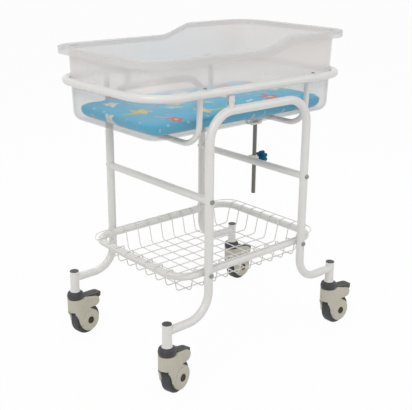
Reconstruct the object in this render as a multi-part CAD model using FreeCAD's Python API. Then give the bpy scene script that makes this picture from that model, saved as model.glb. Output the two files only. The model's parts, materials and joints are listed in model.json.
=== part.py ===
# Hospital bassinet: a tilting tub on a tubular trolley with a wire basket and four braked casters.
# Millimetres. X runs from the foot end to the head end, Y from the near side to the far side, Z up.
# The origin lies on the floor under the middle of the trolley.
import FreeCAD, Part
import math
import os

# Fits and seats
bore_clearance = 0.05
rest_gap = 0.3
sling_side_gap = 2.5
pin_slot_gap = 0.5
lug_side_gap = 0.3
cut_overrun = 1.0

# Side frames: one bent tube each, foot run, leg, top bar, leg, foot run
leg_tube = 25.0
frame_half_width = 235.0
leg_x = 190.0
foot_run_z = 203.0
foot_bend = 75.0
top_bar_below_pivot = 28.0
top_bend = 80.0

# Caster sockets welded to the ends of the foot runs
socket_x = 340.0
socket_tube = 28.0
socket_wall = 1.5
socket_bottom_z = 157.0
socket_top_z = 225.0
socket_flare = 2.0
socket_flare_height = 7.0
plug_head = 2.0
plug_depth = 8.0
plug_chamfer = 0.8

# Crossbars between the legs, and the bolts that hold them and the basket frame
crossbar_tube = 22.0
crossbar_z = 546.0
bolt_shank = 8.0
bolt_head = 14.0
bolt_head_height = 3.5
bolt_head_chamfer = 1.5
bolt_grip = 15.0

# Basket frame and the lift-out wire basket
basket_frame_tube = 22.0
basket_frame_z = 329.0
basket_frame_half_x = 276.0
basket_frame_corner = 60.0
basket_wire = 3.0
basket_pitch = 47.0
basket_hoop_count_x = 10
basket_hoop_count_y = 8
basket_side_gap = 0.5
basket_rim_overhang_x = 22.0
basket_rim_overhang_y = 2.5
basket_depth = 73.0
basket_taper = 14.0
basket_chamfer = 7.0
basket_weld = 0.4

# Pivot of the bed frame on the top bars
pivot_x = -117.0
pivot_below_ring = 26.0
pivot_pin = 6.0
pivot_pin_head = 10.0
pivot_pin_head_height = 2.0
post_diameter = 20.0
post_top_above_pivot = 12.0
post_slot_below_pivot = 12.0
lug_thickness = 5.0
lug_width = 14.0

# Bed frame: a closed ring of tube round the tub, and two slings under it
bed_x = -5.0
ring_tube = 22.0
ring_z = 841.0
ring_half_x = 378.0
ring_corner = 107.0
sling_x = 208.0
sling_tube = 16.5
sling_bend = 66.0
sling_top_above_ring = 6.0
hook_thickness = 3.0
hook_width = 18.0
hook_past_top = 25.0
sling_screw_shank = 5.0
sling_screw_head = 9.0
sling_screw_head_height = 2.5
sling_screw_depth = 9.0

# Tub: a tapered tray with a turned-down rim that is higher at the head end
tub_wall = 3.0
tub_below_ring = 118.3
tub_bottom_half_x = 353.0
tub_inside_frame = 35.0
tub_corner = 50.0
tub_bottom_edge = 27.0
tub_taper = 0.035
rim_half_x = 390.0
rim_past_frame = 5.0
rim_corner = 92.0
rim_low_above_ring = 93.5
rim_high_above_ring = 125.0
rim_ramp_start_x = 17.0
rim_ramp_end_x = 147.0
rim_skirt_depth = 17.5
rim_ramp_ease = 0.15

# Mattress lying in the tub
mattress_inset_x = 15.0
mattress_inset_y = 13.0
mattress_corner = 48.0
mattress_thickness = 43.0
mattress_edge = 14.0

# Tilt rod, its guide on the head crossbar, its clamp knob, and the slotted bracket over it
rod_diameter = 10.0
rod_bottom_z = 431.0
rod_top_above_pin = 8.0
rod_pin = 6.0
rod_pin_below_tub = 49.7
rod_pin_head = 9.0
rod_pin_head_height = 1.5
tilt_limit = 12.0
guide_diameter = 19.0
guide_height = 24.0
guide_crossbar_gap = 0.5
guide_web_width = 12.0
clamp_z = 548.0
clamp_screw = 8.0
clamp_boss = 15.0
clamp_boss_length = 4.0
knob_diameter = 36.0
knob_thickness = 17.0
knob_lobe_count = 6
knob_lobe_radius = 5.5
knob_hub = 16.0
knob_hub_length = 6.0
knob_standoff = 12.0
bracket_plate = 3.0
bracket_half_gap = 7.0
bracket_half_height = 11.0
bracket_neck_width = 22.0
bracket_nose_x = 234.0
bracket_spacer_x = 227.0

# Casters, each in its own frame: stem on the Z axis, wheel trailing along +X
wheel_radius = 49.0
wheel_trail = 37.0
tread_width = 32.0
tread_depth = 12.0
tread_round = 6.0
axle_diameter = 10.0
hub_cap_diameter = 21.5
hub_cap_thickness = 1.2
housing_half_width = 26.0
housing_cheek = 8.0
housing_top_z = 132.5
housing_front_cut_z = 90.0
cheek_disc = 36.0
cheek_overlap = 0.5
cheek_sweep_end = 210.0
cheek_sweep_middle_x = -10.5
cheek_sweep_middle_z = 72.0
cheek_sweep_low_x = -3.0
cheek_sweep_low_z = 47.0
pocket_gap = 3.0
slit_tip_x = 36.0
slit_tip_z = 92.0
slit_turn = 58.0
arm_end_x = 63.0
arm_end_z = 107.0
arm_end_radius = 15.5
arm_end_low_turn = 95.0
cheek_slope_start_x = 25.0
collar_radius = 26.5
collar_waist_z = 143.0
collar_top_radius = 17.0
collar_dome = 2.5
collar_foot_bevel = 2.5
collar_foot_height = 6.5
caster_stem = 12.0
caster_stem_bottom_z = 99.0
socket_insert = 40.0
pedal_pivot_x = 31.0
pedal_pivot_z = 120.0
pedal_pin = 6.0
pedal_nose = 12.5
pedal_end_x = 84.5
pedal_slope = 17.0
pedal_end_z = 108.0
pedal_end_radius = 8.0
pedal_side_gap = 0.5
pedal_travel = 12.0
shoe_width = 14.0

# Swivel angle of each caster about its stem, and whether its brake is pressed
casters = {
    "foot_far": (-1, 1, 9.5, False),
    "foot_near": (-1, -1, 16.0, True),
    "head_near": (1, -1, -1.5, False),
    "head_far": (1, 1, 4.0, True),
}

# Sizes that follow from the driving ones
leg_radius = leg_tube / 2
ring_radius = ring_tube / 2
ring_half_y = frame_half_width
pivot_z = ring_z - pivot_below_ring
top_bar_z = pivot_z - top_bar_below_pivot
tub_bottom_z = ring_z - tub_below_ring
tub_bottom_half_y = frame_half_width - tub_inside_frame
rim_half_y = frame_half_width + rim_past_frame
rim_low_z = ring_z + rim_low_above_ring
rim_high_z = ring_z + rim_high_above_ring
mattress_half_x = tub_bottom_half_x - mattress_inset_x
mattress_half_y = tub_bottom_half_y - mattress_inset_y
mattress_low_z = tub_bottom_z + tub_wall + rest_gap
mattress_top_z = mattress_low_z + mattress_thickness
rod_pin_z = tub_bottom_z - rod_pin_below_tub
sling_radius = sling_tube / 2
basket_frame_half_y = frame_half_width - leg_radius - basket_frame_tube / 2
rod_x = leg_x + crossbar_tube / 2 + guide_crossbar_gap + guide_diameter / 2
lean = math.atan(tub_taper)


def vec(x, y, z):
    return FreeCAD.Vector(x, y, z)


def cylinder(radius, start, end):
    axis = end - start
    return Part.makeCylinder(radius, axis.Length, start, axis)


def bent_tube(points, bends, radius, closed=False):
    """Round bar along straight runs, with a tangent arc of the given radius at each corner."""
    count = len(points)
    corners = range(count) if closed else range(1, count - 1)
    entries = {}
    exits = {}
    pieces = []
    for place, i in enumerate(corners):
        corner = points[i]
        into = (corner - points[i - 1]).normalize()
        out = (points[(i + 1) % count] - corner).normalize()
        turn = into.getAngle(out)
        bend = bends[place]
        reach = bend * math.tan(turn / 2)
        entries[i] = corner - into * reach
        exits[i] = corner + out * reach
        axis = into.cross(out).normalize()
        centre = entries[i] + axis.cross(into) * bend
        section = Part.Face(Part.Wire(Part.makeCircle(radius, entries[i], into)))
        pieces.append(section.revolve(centre, axis, math.degrees(turn)))
    last = count if closed else count - 1
    for i in range(last):
        start = exits.get(i, points[i])
        end = entries.get((i + 1) % count, points[(i + 1) % count])
        pieces.append(cylinder(radius, start, end))
    return pieces[0].fuse(pieces[1:]).removeSplitter()


def rounded_rectangle(half_x, half_y, corner, z, centre_x=0.0):
    """Closed wire of four sides and four corner arcs."""
    edges = []
    previous = None
    first = None
    diagonal = corner * math.sqrt(0.5)
    for quarter, (sx, sy) in enumerate([(1, 1), (-1, 1), (-1, -1), (1, -1)]):
        centre = vec(centre_x + sx * (half_x - corner), sy * (half_y - corner), z)
        along_x = vec(sx * corner, 0, 0)
        along_y = vec(0, sy * corner, 0)
        start, end = (along_x, along_y) if quarter % 2 == 0 else (along_y, along_x)
        middle = centre + vec(sx * diagonal, sy * diagonal, 0)
        if previous is not None:
            edges.append(Part.makeLine(previous, centre + start))
        else:
            first = centre + start
        edges.append(Part.Arc(centre + start, middle, centre + end).toShape())
        previous = centre + end
    edges.append(Part.makeLine(previous, first))
    return Part.Wire(edges)


def rounded_block(half_x, half_y, corner, low, high, centre_x=0.0):
    outline = Part.Face(rounded_rectangle(half_x, half_y, corner, low, centre_x))
    return outline.extrude(vec(0, 0, high - low))


def flat_wire(items, place):
    """Closed wire from ("line", end) and ("arc", middle, end) steps, after a first ("start", point)."""
    at = place(*items[0][1])
    first = at
    edges = []
    for item in items[1:]:
        end = place(*item[-1])
        if item[0] == "arc":
            edges.append(Part.Arc(at, place(*item[1]), end).toShape())
        else:
            edges.append(Part.makeLine(at, end))
        at = end
    if (at - first).Length > 1e-6:
        edges.append(Part.makeLine(at, first))
    return Part.Wire(edges)


def side_prism(items, half_width):
    """Outline in the XZ plane, extruded to both sides of Y = 0."""
    wire = flat_wire(items, lambda x, z: vec(x, -half_width, z))
    return Part.Face(wire).extrude(vec(0, 2 * half_width, 0))


def turned(points, centre_x=0.0, centre_y=0.0):
    """Solid turned about a vertical axis from (radius, z) points."""
    items = [("start", points[0])] + [("line", point) for point in points[1:]]
    wire = flat_wire(items, lambda r, z: vec(centre_x + r, centre_y, z))
    return Part.Face(wire).revolve(vec(centre_x, centre_y, 0), vec(0, 0, 1), 360)


def turned_across(items):
    """Solid turned about the Y axis from (radius, y) steps."""
    wire = flat_wire(items, lambda r, y: vec(r, y, 0))
    return Part.Face(wire).revolve(vec(0, 0, 0), vec(0, 1, 0), 360)


def side_frame_tube(side):
    y = side * frame_half_width
    points = [
        vec(-socket_x, y, foot_run_z),
        vec(-leg_x, y, foot_run_z),
        vec(-leg_x, y, top_bar_z),
        vec(leg_x, y, top_bar_z),
        vec(leg_x, y, foot_run_z),
        vec(socket_x, y, foot_run_z),
    ]
    return bent_tube(points, [foot_bend, top_bend, top_bend, foot_bend], leg_radius)


def bolt_hole(x, z, side, depth):
    outer = vec(x, side * (frame_half_width + leg_radius + bolt_head_height), z)
    inner = vec(x, side * (frame_half_width - leg_radius - depth), z)
    return cylinder(bolt_shank / 2, outer, inner)


def side_frame(side):
    frame = side_frame_tube(side)
    cuts = []
    for end in (-1, 1):
        foot = vec(end * socket_x, side * frame_half_width, socket_bottom_z)
        cuts.append(Part.makeCylinder(socket_tube / 2, socket_top_z - socket_bottom_z, foot))
        cuts.append(bolt_hole(end * leg_x, crossbar_z, side, bolt_grip))
        cuts.append(bolt_hole(end * leg_x, basket_frame_z, side, bolt_grip))
    return frame.cut(cuts)


def cross_cylinder(radius, x, z, half_width, y=0.0):
    """Cylinder along Y, to both sides of the given y."""
    return cylinder(radius, vec(x, y - half_width, z), vec(x, y + half_width, z))


def each_socket(maker):
    places = [(sx * socket_x, sy * frame_half_width) for sx, sy, _, _ in casters.values()]
    return Part.makeCompound([maker(x, y) for x, y in places])


def socket(x, y):
    outer = socket_tube / 2
    flared = outer + socket_flare
    inner = outer - socket_wall
    points = [
        (inner, socket_bottom_z),
        (flared, socket_bottom_z),
        (outer, socket_bottom_z + socket_flare_height),
        (outer, socket_top_z),
        (inner, socket_top_z),
    ]
    return turned(points, x, y)


def socket_plug(x, y):
    outer = socket_tube / 2
    inner = outer - socket_wall
    top = socket_top_z + plug_head
    points = [
        (0, socket_top_z - plug_depth),
        (inner, socket_top_z - plug_depth),
        (inner, socket_top_z),
        (outer, socket_top_z),
        (outer, top - plug_chamfer),
        (outer - plug_chamfer, top),
        (0, top),
    ]
    return turned(points, x, y)


def caster_stem_at(x, y):
    inner = socket_tube / 2 - socket_wall
    points = [
        (0, caster_stem_bottom_z),
        (caster_stem / 2, caster_stem_bottom_z),
        (caster_stem / 2, socket_bottom_z),
        (inner, socket_bottom_z),
        (inner, socket_bottom_z + socket_insert),
        (0, socket_bottom_z + socket_insert),
    ]
    return turned(points, x, y)


def leg_cylinder(x, side):
    foot = vec(x, side * frame_half_width, foot_run_z + foot_bend)
    return Part.makeCylinder(leg_radius, top_bar_z - top_bend - foot.z, foot)


def crossbar(x):
    ends = [vec(x, side * frame_half_width, crossbar_z) for side in (-1, 1)]
    bar = cylinder(crossbar_tube / 2, ends[0], ends[1])
    for side in (-1, 1):
        bar = bar.cut([leg_cylinder(x, side), bolt_hole(x, crossbar_z, side, bolt_grip)])
    return bar


def bolts(z, depth):
    """Button-head bolts through the four legs at one height, each head seated on the tube."""
    solids = []
    for side in (-1, 1):
        crown = side * (frame_half_width + leg_radius)
        for x in (-leg_x, leg_x):
            tip = vec(x, side * (frame_half_width - leg_radius - depth), z)
            shank = cylinder(bolt_shank / 2, tip, vec(x, crown, z))
            seat = vec(x, side * frame_half_width, z)
            face = vec(x, crown + side * bolt_head_height, z)
            head = cylinder(bolt_head / 2, seat, face)
            rim = max(head.Edges, key=lambda edge: side * edge.CenterOfMass.y)
            head = head.makeChamfer(bolt_head_chamfer, [rim])
            solids.append(head.cut(leg_cylinder(x, side)).fuse(shank))
    return Part.makeCompound(solids)


def closed_ring(half_x, half_y, corner, z, radius, centre_x=0.0):
    points = [
        vec(centre_x + half_x, half_y, z),
        vec(centre_x - half_x, half_y, z),
        vec(centre_x - half_x, -half_y, z),
        vec(centre_x + half_x, -half_y, z),
    ]
    return bent_tube(points, [corner] * 4, radius, closed=True)


def basket_frame():
    ring = closed_ring(
        basket_frame_half_x,
        basket_frame_half_y,
        basket_frame_corner,
        basket_frame_z,
        basket_frame_tube / 2,
    )
    holes = [bolt_hole(x, basket_frame_z, side, bolt_grip) for x in (-leg_x, leg_x) for side in (-1, 1)]
    return ring.cut(holes)


def wire_run(points):
    """Eight-sided wire along straight runs with mitred corners."""
    direction = (points[1] - points[0]).normalize()
    across = vec(0, 1, 0) if abs(direction.x) > 0.5 else vec(1, 0, 0)
    up = direction.cross(across)
    reach = basket_wire / 2 / math.cos(math.pi / 8)
    ring = []
    for k in range(9):
        angle = math.pi / 8 + k * math.pi / 4
        ring.append(points[0] + across * (reach * math.cos(angle)) + up * (reach * math.sin(angle)))
    spine = Part.makePolygon(points)
    return spine.makePipeShell([Part.makePolygon(ring)], True, False, 1)


def basket_hoop(rim_half, wall_half, floor_z, place):
    top = basket_wire_z()
    foot = wall_half - basket_taper
    half = [
        (rim_half, top),
        (wall_half, top),
        (foot, floor_z + basket_chamfer),
        (foot - basket_chamfer, floor_z),
    ]
    mirrored = [(-across, z) for across, z in reversed(half)]
    return wire_run([place(across, z) for across, z in half + mirrored])


def basket_wire_z():
    return basket_frame_z + (basket_frame_tube + basket_wire) / 2 + rest_gap


def wire_basket():
    """Rim wire lying on the frame tube, with hoops both ways that hang inside it."""
    top = basket_wire_z()
    inset = (basket_frame_tube + basket_wire) / 2 + basket_side_gap
    wall_x = basket_frame_half_x - inset
    wall_y = basket_frame_half_y - inset
    rim_x = basket_frame_half_x + basket_rim_overhang_x
    rim_y = basket_frame_half_y + basket_rim_overhang_y
    floor_z = top - basket_depth
    wires = []
    for k in range(basket_hoop_count_x):
        x = (k - (basket_hoop_count_x - 1) / 2) * basket_pitch
        wires.append(basket_hoop(rim_y, wall_y, floor_z, lambda across, z: vec(x, across, z)))
    upper_z = floor_z + basket_wire - basket_weld
    for k in range(basket_hoop_count_y):
        y = (k - (basket_hoop_count_y - 1) / 2) * basket_pitch
        wires.append(basket_hoop(rim_x, wall_x, upper_z, lambda across, z: vec(across, y, z)))
    rim = closed_ring(rim_x, rim_y, basket_frame_corner, top, basket_wire / 2)
    return rim.fuse(wires)


def pivot_posts():
    posts = []
    for side in (-1, 1):
        y = side * frame_half_width
        height = pivot_z + post_top_above_pivot - top_bar_z
        post = Part.makeCylinder(post_diameter / 2, height, vec(pivot_x, y, top_bar_z))
        half_slot = lug_thickness / 2 + lug_side_gap
        slot_floor = pivot_z - post_slot_below_pivot
        corner = vec(pivot_x - post_diameter, y - half_slot, slot_floor)
        slot = Part.makeBox(2 * post_diameter, 2 * half_slot, height, corner)
        pin = cross_cylinder(pivot_pin / 2, pivot_x, pivot_z, post_diameter, y)
        posts.append(post.cut([side_frame_tube(side), slot, pin]))
    return Part.makeCompound(posts)


def pivot_pins():
    pins = []
    for side in (-1, 1):
        face = frame_half_width + post_diameter / 2
        inner = vec(pivot_x, side * (frame_half_width - post_diameter / 2 - cut_overrun), pivot_z)
        outer = vec(pivot_x, side * face, pivot_z)
        crown = vec(pivot_x, side * (face + pivot_pin_head_height), pivot_z)
        shank = cylinder(pivot_pin / 2, inner, outer)
        pins.append(shank.fuse(cylinder(pivot_pin_head / 2, outer, crown)))
    return Part.makeCompound(pins)


def pivot_lugs(ring):
    lugs = []
    for side in (-1, 1):
        y = side * ring_half_y - lug_thickness / 2
        half = lug_width / 2
        items = [
            ("start", (pivot_x - half, pivot_z)),
            ("arc", (pivot_x, pivot_z - half), (pivot_x + half, pivot_z)),
            ("line", (pivot_x + half, ring_z)),
            ("line", (pivot_x - half, ring_z)),
        ]
        wire = flat_wire(items, lambda x, z: vec(x, y, z))
        lug = Part.Face(wire).extrude(vec(0, lug_thickness, 0))
        bore = pivot_pin / 2 + bore_clearance
        hole = cross_cylinder(bore, pivot_x, pivot_z, lug_thickness, side * ring_half_y)
        lugs.append(lug.cut([ring, hole]))
    return Part.makeCompound(lugs)


def screw_holes():
    holes = []
    for x in (-sling_x, sling_x):
        for side in (-1, 1):
            top = vec(x, side * ring_half_y, ring_z + ring_radius + hook_thickness)
            holes.append(cylinder(sling_screw_shank / 2, top - vec(0, 0, sling_screw_depth), top))
    return holes


def ring_frame_tube():
    return closed_ring(ring_half_x, ring_half_y, ring_corner, ring_z, ring_radius, bed_x)


def sling_path(x):
    """Legs parallel to the tub's wall, with bends that cradle the tub's bottom edges."""
    inner_bend = sling_bend - sling_radius
    aside = inner_bend - sling_side_gap - tub_bottom_edge
    apart = inner_bend - tub_bottom_edge - rest_gap
    along = math.sqrt(apart**2 - aside**2)
    bend_z = tub_bottom_z + tub_bottom_edge + along * math.cos(lean) + aside * math.sin(lean)
    run_z = bend_z - sling_bend

    def leg_y(z):
        offset = (sling_side_gap + sling_radius) / math.cos(lean)
        return tub_bottom_half_y + (z - tub_bottom_z) * tub_taper + offset

    top_z = ring_z + sling_top_above_ring
    half = [(leg_y(top_z), top_z), (leg_y(run_z), run_z)]
    points = [vec(x, -y, z) for y, z in half] + [vec(x, y, z) for y, z in reversed(half)]
    return points, run_z


def sling(x, ring):
    points, _ = sling_path(x)
    bar = bent_tube(points, [sling_bend, sling_bend], sling_radius)
    hooks = []
    for side in (-1, 1):
        start = vec(x - hook_width / 2, side * ring_half_y, ring_z)
        outer = ring_radius + hook_thickness
        past = math.radians(hook_past_top)
        tip = vec(start.x, start.y + side * outer * math.sin(past), ring_z + outer * math.cos(past))
        root = vec(start.x, start.y - side * outer, ring_z)
        half_way = (math.pi / 2 - past) / 2
        middle_y = start.y - side * outer * math.sin(half_way)
        middle = vec(start.x, middle_y, ring_z + outer * math.cos(half_way))
        arc = Part.Arc(root, middle, tip).toShape()
        wire = Part.Wire([arc, Part.makeLine(tip, start), Part.makeLine(start, root)])
        hooks.append(Part.Face(wire).extrude(vec(hook_width, 0, 0)))
    return bar.fuse(hooks).cut([ring] + screw_holes()).removeSplitter()


def sling_screws():
    screws = []
    for hole in screw_holes():
        top = vec(hole.CenterOfMass.x, hole.CenterOfMass.y, hole.BoundBox.ZMax)
        head = cylinder(sling_screw_head / 2, top, top + vec(0, 0, sling_screw_head_height))
        screws.append(hole.fuse(head))
    return Part.makeCompound(screws)


def slot_reach():
    """How far the rod pin slides along the bracket's slot as the bed tilts to its limit."""
    across = rod_x - pivot_x
    drop = pivot_z - rod_pin_z
    angle = math.radians(tilt_limit)
    return across - (across - drop * math.sin(angle)) / math.cos(angle)


def slot_bracket(sling_bar):
    """Two plates welded under the head sling, each with a slot for the rod pin, and a spacer."""
    slot_half = rod_pin / 2 + pin_slot_gap
    slot_start = rod_x - slot_reach()
    left = slot_start - bracket_half_height
    nose = bracket_nose_x - bracket_half_height
    low = rod_pin_z - bracket_half_height
    high = rod_pin_z + bracket_half_height
    _, run_z = sling_path(sling_x)
    body = [
        ("start", (slot_start, high)),
        ("arc", (left, rod_pin_z), (slot_start, low)),
        ("line", (nose, low)),
        ("arc", (bracket_nose_x, rod_pin_z), (nose, high)),
        ("line", (sling_x + bracket_neck_width / 2, high)),
        ("line", (sling_x + bracket_neck_width / 2, run_z)),
        ("line", (sling_x - bracket_neck_width / 2, run_z)),
        ("line", (sling_x - bracket_neck_width / 2, high)),
    ]
    slot = [
        ("start", (slot_start, rod_pin_z + slot_half)),
        ("arc", (slot_start - slot_half, rod_pin_z), (slot_start, rod_pin_z - slot_half)),
        ("line", (rod_x, rod_pin_z - slot_half)),
        ("arc", (rod_x + slot_half, rod_pin_z), (rod_x, rod_pin_z + slot_half)),
    ]
    outer = bracket_half_gap + bracket_plate
    plates = side_prism(body, outer).cut(side_prism(slot, outer + cut_overrun))
    plates = plates.cut(side_prism(body, bracket_half_gap))
    spacer = cross_cylinder(rod_pin / 2, bracket_spacer_x, rod_pin_z, outer)
    return plates.fuse(spacer).cut(sling_bar)


def tilt_rod():
    top = vec(rod_x, 0, rod_pin_z + rod_top_above_pin)
    rod = cylinder(rod_diameter / 2, vec(rod_x, 0, rod_bottom_z), top)
    return rod.cut(cross_cylinder(rod_pin / 2, rod_x, rod_pin_z, rod_diameter))


def rod_cross_pin():
    face = bracket_half_gap + bracket_plate + rest_gap
    crown = face + rod_pin_head_height
    pin = cross_cylinder(rod_pin / 2, rod_x, rod_pin_z, face)
    heads = []
    for side in (-1, 1):
        start = vec(rod_x, side * face, rod_pin_z)
        heads.append(cylinder(rod_pin_head / 2, start, vec(rod_x, side * crown, rod_pin_z)))
    return pin.fuse(heads)


def rod_guide(bar):
    """Sleeve round the rod, a web to the head crossbar, and a boss for the clamp screw."""
    low = clamp_z - guide_height / 2
    sleeve = Part.makeCylinder(guide_diameter / 2, guide_height, vec(rod_x, 0, low))
    corner = vec(leg_x, -guide_web_width / 2, low)
    web = Part.makeBox(rod_x - leg_x, guide_web_width, guide_height, corner)
    boss_end = vec(rod_x + guide_diameter / 2 + clamp_boss_length, 0, clamp_z)
    boss = cylinder(clamp_boss / 2, vec(rod_x, 0, clamp_z), boss_end)
    bore_low = vec(rod_x, 0, low - cut_overrun)
    bore = Part.makeCylinder(rod_diameter / 2 + bore_clearance, guide_height + 2 * cut_overrun, bore_low)
    thread_end = boss_end + vec(cut_overrun, 0, 0)
    thread = cylinder(clamp_screw / 2 + bore_clearance, vec(rod_x, 0, clamp_z), thread_end)
    return sleeve.fuse([web, boss]).cut([bar, bore, thread]).removeSplitter()


def knob_start_x():
    return rod_x + guide_diameter / 2 + clamp_boss_length + knob_standoff - knob_hub_length


def clamp_knob_and_screw():
    """Lobed knob with a hub, and the screw fixed in it that presses on the rod."""
    hub_x = knob_start_x()
    grip_x = hub_x + knob_hub_length
    ring = knob_diameter / 2 - knob_lobe_radius
    core = Part.makeCylinder(ring, knob_thickness, vec(grip_x, 0, clamp_z), vec(1, 0, 0))
    lobes = []
    for k in range(knob_lobe_count):
        angle = 2 * math.pi * k / knob_lobe_count
        centre = vec(grip_x, ring * math.sin(angle), clamp_z + ring * math.cos(angle))
        lobes.append(Part.makeCylinder(knob_lobe_radius, knob_thickness, centre, vec(1, 0, 0)))
    hub = Part.makeCylinder(knob_hub / 2, knob_hub_length, vec(hub_x, 0, clamp_z), vec(1, 0, 0))
    tip = vec(rod_x + rod_diameter / 2 + rest_gap, 0, clamp_z)
    screw = cylinder(clamp_screw / 2, tip, vec(grip_x + knob_thickness / 2, 0, clamp_z))
    knob = core.fuse(lobes + [hub]).cut(screw).removeSplitter()
    return knob, screw


def tub_section(z, inset):
    grown = (z - tub_bottom_z) * tub_taper - inset
    return rounded_rectangle(
        tub_bottom_half_x + grown, tub_bottom_half_y + grown, tub_corner + grown, z, bed_x
    )


def tub_form(bottom, inset, edge):
    """Tapered solid from the given floor height to above the rim, its bottom edge rounded."""
    top = rim_high_z + rim_skirt_depth
    form = Part.makeLoft([tub_section(bottom, inset), tub_section(top, inset)], True, True)
    floor_edges = [e for e in form.Edges if e.BoundBox.ZMax < bottom + 0.1]
    return form.makeFillet(edge, floor_edges)


def below_rim(drop):
    """Everything below the rim line, which climbs in an S from the low foot end to the high head end."""
    low = rim_low_z - drop
    high = rim_high_z - drop
    middle_x = (rim_ramp_start_x + rim_ramp_end_x) / 2
    quarter = (rim_ramp_end_x - rim_ramp_start_x) / 4
    rise = high - low
    far = 2 * rim_half_x
    steps = [
        vec(-far, 0, low),
        vec(rim_ramp_start_x, 0, low),
        vec(rim_ramp_start_x + quarter, 0, low + rise * rim_ramp_ease),
        vec(middle_x, 0, low + rise / 2),
        vec(rim_ramp_end_x - quarter, 0, high - rise * rim_ramp_ease),
        vec(rim_ramp_end_x, 0, high),
        vec(far, 0, high),
    ]
    steps = [point - vec(0, far, 0) for point in steps]
    ramp = Part.BSplineCurve()
    ramp.interpolate(steps[1:6], InitialTangent=vec(1, 0, 0), FinalTangent=vec(1, 0, 0))
    corners = [steps[6], vec(far, -far, 0), vec(-far, -far, 0), steps[0]]
    edges = [Part.makeLine(steps[0], steps[1]), ramp.toShape(), Part.makeLine(steps[5], steps[6])]
    edges += [Part.makeLine(corners[i], corners[i + 1]) for i in range(3)]
    return Part.Face(Part.Wire(edges)).extrude(vec(0, 2 * far, 0))


def tub():
    outer = tub_form(tub_bottom_z, 0.0, tub_bottom_edge)
    inner = tub_form(tub_bottom_z + tub_wall, tub_wall, tub_bottom_edge - tub_wall)
    low = rim_low_z - rim_skirt_depth - tub_wall
    high = rim_high_z + tub_wall
    block = rounded_block(rim_half_x, rim_half_y, rim_corner, low, high, bed_x)
    core = rounded_block(
        rim_half_x - tub_wall,
        rim_half_y - tub_wall,
        rim_corner - tub_wall,
        low - cut_overrun,
        high + cut_overrun,
        bed_x,
    )
    under_top = below_rim(0.0)
    wall = outer.common(under_top)
    flange = block.common(under_top).cut(below_rim(tub_wall))
    skirt = block.cut(core).common(under_top).cut(below_rim(rim_skirt_depth))
    return wall.fuse([flange, skirt]).cut(inner).removeSplitter()


def mattress():
    block = rounded_block(
        mattress_half_x, mattress_half_y, mattress_corner, mattress_low_z, mattress_top_z, bed_x
    )
    rims = [e for e in block.Edges if e.BoundBox.ZLength < 0.1]
    return block.makeFillet(mattress_edge, rims)


def caster_place(name, shape):
    """Move a shape from a caster's own frame to its socket."""
    sx, sy, swivel, _ = casters[name]
    moved = shape.copy()
    moved.rotate(vec(0, 0, 0), vec(0, 0, 1), swivel)
    moved.translate(vec(sx * socket_x, sy * frame_half_width, 0))
    return moved


def housing_outline():
    """Side view: front face, swept cut-out over the wheel, slit, arm under the pedal, sloping top."""
    slope = (arm_end_z + arm_end_radius - housing_top_z) / (arm_end_x - cheek_slope_start_x)
    tilt = math.atan(-slope)
    top_x = arm_end_x + arm_end_radius * math.sin(tilt)
    top_z = arm_end_z + arm_end_radius * math.cos(tilt)
    low_turn = math.radians(arm_end_low_turn)
    low_x = arm_end_x + arm_end_radius * math.cos(low_turn)
    low_z = arm_end_z - arm_end_radius * math.sin(low_turn)
    front = -housing_half_width
    meet_turn = math.radians(cheek_sweep_end)
    meet_radius = cheek_disc - cheek_overlap
    meet_x = wheel_trail + meet_radius * math.cos(meet_turn)
    meet_z = wheel_radius + meet_radius * math.sin(meet_turn)
    slit = math.radians(slit_turn)
    slit_x = wheel_trail + meet_radius * math.cos(slit)
    slit_z = wheel_radius + meet_radius * math.sin(slit)
    return [
        ("start", (front, housing_top_z)),
        ("line", (front, housing_front_cut_z)),
        ("arc", (cheek_sweep_middle_x, cheek_sweep_middle_z), (cheek_sweep_low_x, cheek_sweep_low_z)),
        ("line", (meet_x, meet_z)),
        ("line", (wheel_trail, wheel_radius)),
        ("line", (slit_x, slit_z)),
        ("line", (slit_tip_x, slit_tip_z)),
        ("line", (low_x, low_z)),
        ("arc", (arm_end_x + arm_end_radius, arm_end_z), (top_x, top_z)),
        ("line", (cheek_slope_start_x, housing_top_z)),
    ]


def caster_housing():
    """Moulded fork: two cheeks round the wheel, a swivel head in front, a bay for the pedal on top."""
    width = housing_half_width
    inside = width - housing_cheek
    fork = side_prism(housing_outline(), width)
    disc = cross_cylinder(cheek_disc, wheel_trail, wheel_radius, width)
    reach = arm_end_x + 2 * arm_end_radius
    plan = Part.makeCylinder(width, housing_top_z).fuse(
        Part.makeBox(reach, 2 * width, housing_top_z, vec(0, -width, 0))
    )
    fork = fork.fuse(disc).common(plan)
    pocket = cross_cylinder(wheel_radius + pocket_gap, wheel_trail, wheel_radius, inside)
    corner = vec(-width, -inside, 0)
    mouth = Part.makeBox(width + wheel_trail, 2 * inside, housing_front_cut_z, corner)
    bay_x = pedal_pivot_x - pedal_nose - pedal_side_gap
    bay = Part.makeBox(reach, 2 * inside, housing_top_z, vec(bay_x, -inside, wheel_radius))
    low = vec(0, 0, caster_stem_bottom_z - rest_gap)
    stem_bore = Part.makeCylinder(caster_stem / 2 + bore_clearance, housing_top_z, low)
    axle_bore = cross_cylinder(axle_diameter / 2, wheel_trail, wheel_radius, width)
    pin_bore = cross_cylinder(pedal_pin / 2, pedal_pivot_x, pedal_pivot_z, width)
    return fork.cut([pocket, mouth, bay, stem_bore, axle_bore, pin_bore]).removeSplitter()


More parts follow.
